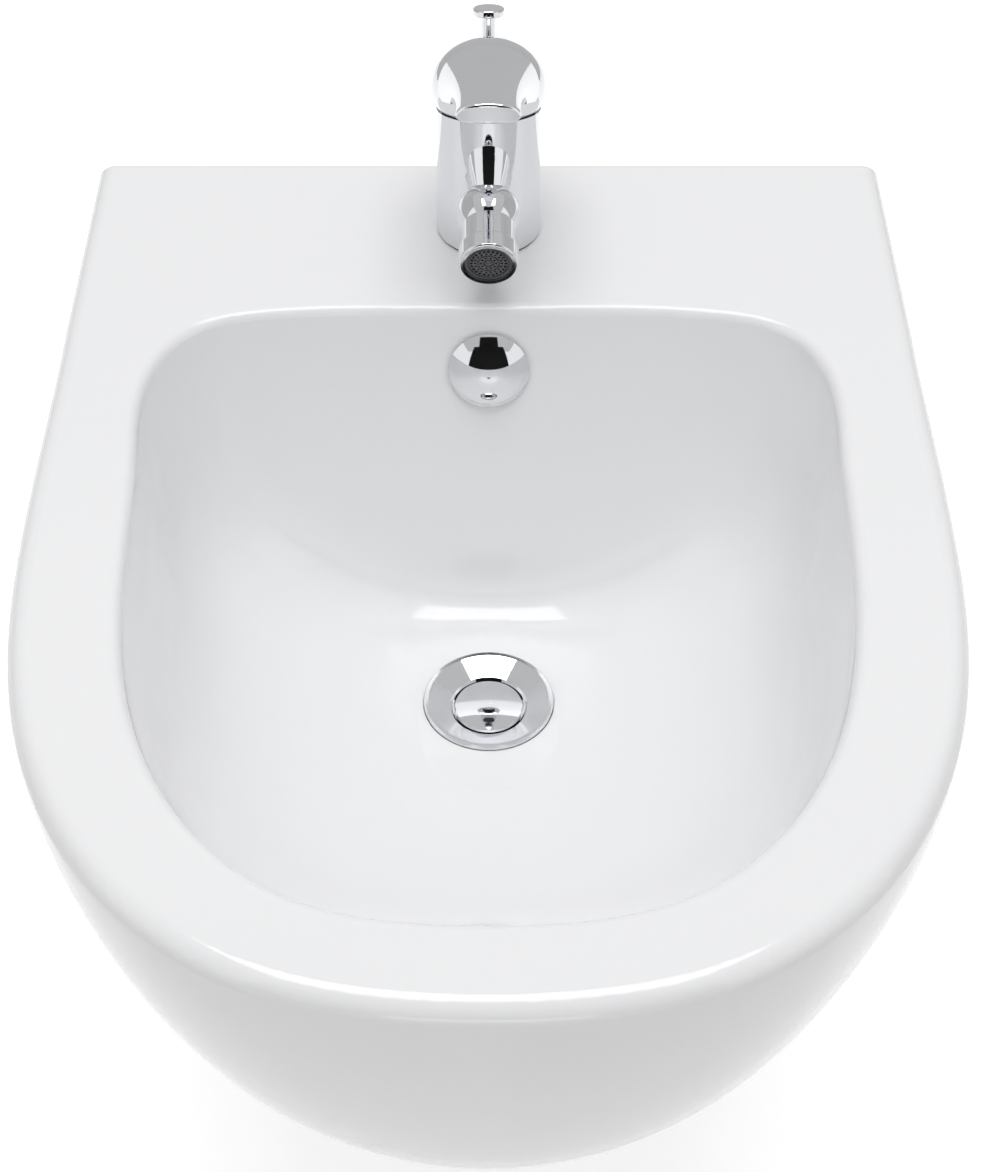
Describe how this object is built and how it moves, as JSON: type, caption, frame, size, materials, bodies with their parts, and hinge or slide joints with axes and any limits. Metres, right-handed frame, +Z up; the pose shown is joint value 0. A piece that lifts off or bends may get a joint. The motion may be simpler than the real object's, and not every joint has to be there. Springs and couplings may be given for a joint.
{
  "type": "wall hung bidet",
  "caption": "Wall hung ceramic bidet with a hollow D-shaped basin, single-lever mixer with swivel nozzle, pop-up waste worked by a lift rod, and an overflow.",
  "frame": {"origin": "midway between the two wall fixings, on the wall face of the ceramic", "axes": "+X to the right seen from the front, +Y into the wall, +Z up"},
  "size_m": [0.3662, 0.47, 0.3737],
  "materials": {
    "ceramic": "white glaze, glossy",
    "white_plastic": "white moulded plastic",
    "dark_plastic": "dark grey moulded plastic",
    "chrome": "polished chrome plate on brass",
    "steel": "zinc plated or stainless steel",
    "brass": "machined brass",
    "rubber": "black rubber"
  },
  "bodies": {
    "basin": {"ceramic_basin": "ceramic", "fixing_sleeve_left": "white_plastic", "fixing_sleeve_right": "white_plastic", "overflow_lining": "white_plastic", "overflow_cap": "chrome", "waste_flange": "chrome", "waste_flange_gasket": "rubber", "waste_cone_washer": "rubber", "waste_back_nut": "brass", "waste_body": "chrome", "waste_port_cap": "chrome", "mixer_body": "chrome", "mixer_base_gasket": "rubber", "mixer_fixing_seal": "rubber", "mixer_fixing_plate": "steel", "mixer_stud": "steel", "mixer_stud_nut": "brass", "cartridge": "white_plastic", "cartridge_ring": "brass", "cartridge_shroud": "chrome", "nozzle_ball": "chrome"},
    "handle_turntable": {"cartridge_rotor": "white_plastic"},
    "handle": {"handle": "chrome", "handle_grub_screw": "steel", "cartridge_spindle": "brass"},
    "nozzle_seat": {"nozzle_seat": "white_plastic"},
    "nozzle": {"nozzle_barrel": "chrome", "aerator_collar": "chrome", "aerator_insert": "dark_plastic", "aerator_washer": "rubber"},
    "lift_rod": {"lift_rod": "chrome", "lift_knob": "chrome", "rod_clamp": "chrome", "rod_clamp_screw": "steel"},
    "ball_rod": {"waste_ball_rod": "steel"},
    "plug": {"waste_plug": "chrome", "waste_plug_seal": "rubber"}
  },
  "joints": [
    {"name": "handle_turn", "type": "hinge", "parent": "basin", "child": "handle_turntable", "pos_m": [0, -0.048, 0.1428], "axis": [0, 0.2588, 0.9659], "range_deg": [-45, 45]},
    {"name": "handle_lift", "type": "hinge", "parent": "handle_turntable", "child": "handle", "pos_m": [0, -0.048, 0.1428], "axis": [-1, 0, 0], "range_deg": [0, 18]},
    {"name": "nozzle_pan", "type": "hinge", "parent": "basin", "child": "nozzle_seat", "pos_m": [0, -0.08214, 0.11032], "axis": [0, -0.2079, 0.9781], "range_deg": [-12, 12]},
    {"name": "nozzle_tilt", "type": "hinge", "parent": "nozzle_seat", "child": "nozzle", "pos_m": [0, -0.08214, 0.11032], "axis": [1, 0, 0], "range_deg": [-10, 12]},
    {"name": "rod_lift", "type": "slide", "parent": "basin", "child": "lift_rod", "axis": [0, -0.2756, -0.9613], "range_m": [0, 0.012]},
    {"name": "ball_rod_tilt", "type": "hinge", "parent": "basin", "child": "ball_rod", "pos_m": [0, -0.172, -0.132], "axis": [-1, 0, 0], "range_deg": [0, 8.79]},
    {"name": "plug_rise", "type": "slide", "parent": "basin", "child": "plug", "axis": [0, 0, 1], "range_m": [0, 0.00468]}
  ],
  "couplings": [
    {"joint": "ball_rod_tilt", "follows": "rod_lift", "rad_per_m": 12.497},
    {"joint": "plug_rise", "follows": "rod_lift", "ratio": 0.3735}
  ]
}
